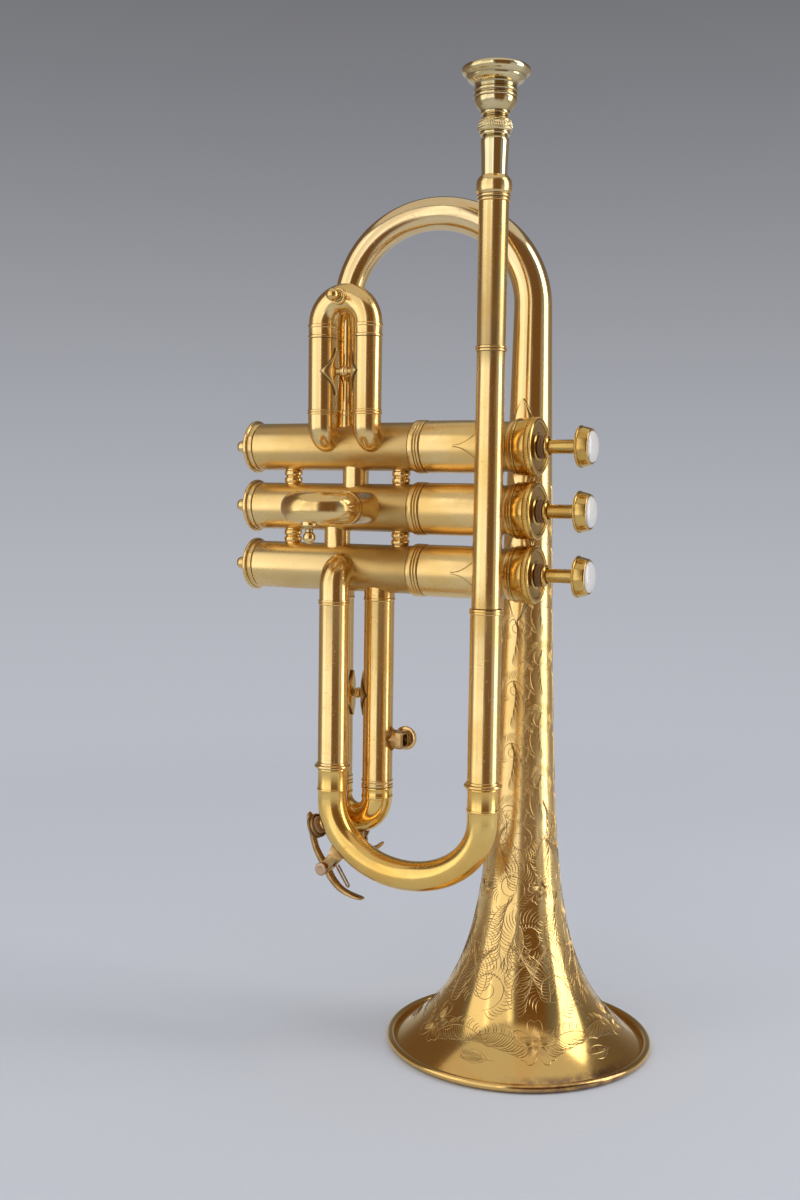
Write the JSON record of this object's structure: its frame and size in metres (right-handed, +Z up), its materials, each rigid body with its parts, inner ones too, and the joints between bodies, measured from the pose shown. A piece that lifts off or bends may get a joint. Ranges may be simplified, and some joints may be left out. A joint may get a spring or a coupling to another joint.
{
  "type": "trumpet",
  "caption": "Gold-plated trumpet standing on its engraved bell, with pressable piston valves, sliding crooks, hinged water keys, a lyre socket and a lift-out mouthpiece.",
  "frame": {"origin": "middle of the whole trumpet's footprint box, on the floor that its bell stands on", "axes": "+Z up along the bell and leadpipe towards the mouthpiece, +X along the valves towards their finger buttons, -Y towards the leadpipe side"},
  "size_m": [0.1919, 0.1295, 0.412],
  "materials": {
    "bright_gold": "polished gold plate with fine hand engraving",
    "satin_gold": "satin brushed gold plate",
    "pale_gold": "polished pale worn gold plate",
    "bronze": "dark worn bronze",
    "nickel": "ground nickel plate",
    "spring_steel": "bare wire",
    "pearl": "white mother of pearl",
    "felt": "pressed black felt",
    "cork": "natural cork"
  },
  "bodies": {
    "instrument": {"bell": "bright_gold", "bell_brace_1": "bright_gold", "bell_brace_3": "bright_gold", "leadpipe": "satin_gold", "mouthpiece_receiver": "satin_gold", "tuning_slide_upper_sleeve": "satin_gold", "tuning_slide_lower_sleeve": "satin_gold", "third_valve_elbow": "satin_gold", "valve_casing_1": "satin_gold", "valve_casing_2": "satin_gold", "valve_casing_3": "satin_gold", "bottom_cap_1": "satin_gold", "bottom_cap_2": "satin_gold", "bottom_cap_3": "satin_gold", "top_cap_1": "satin_gold", "top_cap_2": "satin_gold", "top_cap_3": "satin_gold", "crossover_tube_1_2": "satin_gold", "crossover_tube_2_3": "satin_gold", "casing_post_1_1": "satin_gold", "casing_post_1_2": "satin_gold", "casing_post_2_1": "satin_gold", "casing_post_2_2": "satin_gold", "first_slide_sleeve_1": "satin_gold", "first_slide_sleeve_2": "satin_gold", "second_slide_sleeve_1": "satin_gold", "second_slide_sleeve_2": "satin_gold", "third_slide_sleeve_1": "satin_gold", "third_slide_sleeve_2": "satin_gold", "leadpipe_brace_1": "satin_gold", "leadpipe_brace_3": "satin_gold", "first_slide_brace": "satin_gold", "third_slide_brace": "satin_gold", "lyre_socket": "satin_gold", "valve_spring_1": "spring_steel", "valve_spring_2": "spring_steel", "valve_spring_3": "spring_steel", "felt_1": "felt", "felt_2": "felt", "felt_3": "felt"},
    "first_slide": {"first_slide_crook": "satin_gold"},
    "second_slide": {"second_slide_crook": "satin_gold"},
    "third_slide": {"third_slide_crook": "satin_gold"},
    "third_key": {"third_slide_water_key": "bronze"},
    "tuning_slide": {"tuning_slide_bow": "satin_gold", "tuning_water_key_screw": "bronze"},
    "tuning_key": {"tuning_water_key": "bronze", "tuning_water_key_cork": "cork", "tuning_water_key_spring": "bronze"},
    "mouthpiece_body": {"mouthpiece": "pale_gold"},
    "lyre_thumb_screw": {"lyre_screw": "satin_gold"},
    "valve_1": {"piston_1": "nickel", "finger_button_1": "satin_gold", "pearl_1": "pearl"},
    "valve_2": {"piston_2": "nickel", "finger_button_2": "satin_gold", "pearl_2": "pearl"},
    "valve_3": {"piston_3": "nickel", "finger_button_3": "satin_gold", "pearl_3": "pearl"}
  },
  "joints": [
    {"name": "valve_1_press", "type": "slide", "parent": "instrument", "child": "valve_1", "axis": [-1, 0, 0], "range_m": [0, 0.012], "stiffness_N_per_m": 150, "springref_m": -0.02, "deforming": ["valve_spring_1"]},
    {"name": "valve_2_press", "type": "slide", "parent": "instrument", "child": "valve_2", "axis": [-1, 0, 0], "range_m": [0, 0.012], "stiffness_N_per_m": 150, "springref_m": -0.02, "deforming": ["valve_spring_2"]},
    {"name": "valve_3_press", "type": "slide", "parent": "instrument", "child": "valve_3", "axis": [-1, 0, 0], "range_m": [0, 0.012], "stiffness_N_per_m": 150, "springref_m": -0.02, "deforming": ["valve_spring_3"]},
    {"name": "first_slide_pull", "type": "slide", "parent": "instrument", "child": "first_slide", "axis": [0, 0, 1], "range_m": [0, 0.022]},
    {"name": "second_slide_pull", "type": "slide", "parent": "instrument", "child": "second_slide", "axis": [0, -1, 0], "range_m": [0, 0.011]},
    {"name": "third_slide_pull", "type": "slide", "parent": "instrument", "child": "third_slide", "axis": [0, 0, -1], "range_m": [0, 0.055]},
    {"name": "tuning_slide_pull", "type": "slide", "parent": "instrument", "child": "tuning_slide", "axis": [0, 0, -1], "range_m": [0, 0.05]},
    {"name": "mouthpiece_lift", "type": "slide", "parent": "instrument", "child": "mouthpiece_body", "axis": [0, 0, 1], "range_m": [0, 0.02]},
    {"name": "tuning_key_swing", "type": "hinge", "parent": "tuning_slide", "child": "tuning_key", "pos_m": [-0.0396, -0.03382, 0.07732], "axis": [-0.0715, -0.9974, 0], "range_deg": [0, 15], "stiffness_Nm_per_rad": 0.02, "springref_deg": -28.65},
    {"name": "third_key_swing", "type": "hinge", "parent": "third_slide", "child": "third_key", "pos_m": [-0.03092, -0.01817, 0.08423], "axis": [0, -1, 0], "range_deg": [0, 15], "stiffness_Nm_per_rad": 0.02, "springref_deg": -28.65},
    {"name": "lyre_screw_turn", "type": "hinge", "parent": "instrument", "child": "lyre_thumb_screw", "pos_m": [-0.01155, -0.01817, 0.13454], "axis": [0, 1, 0], "continuous": true}
  ]
}
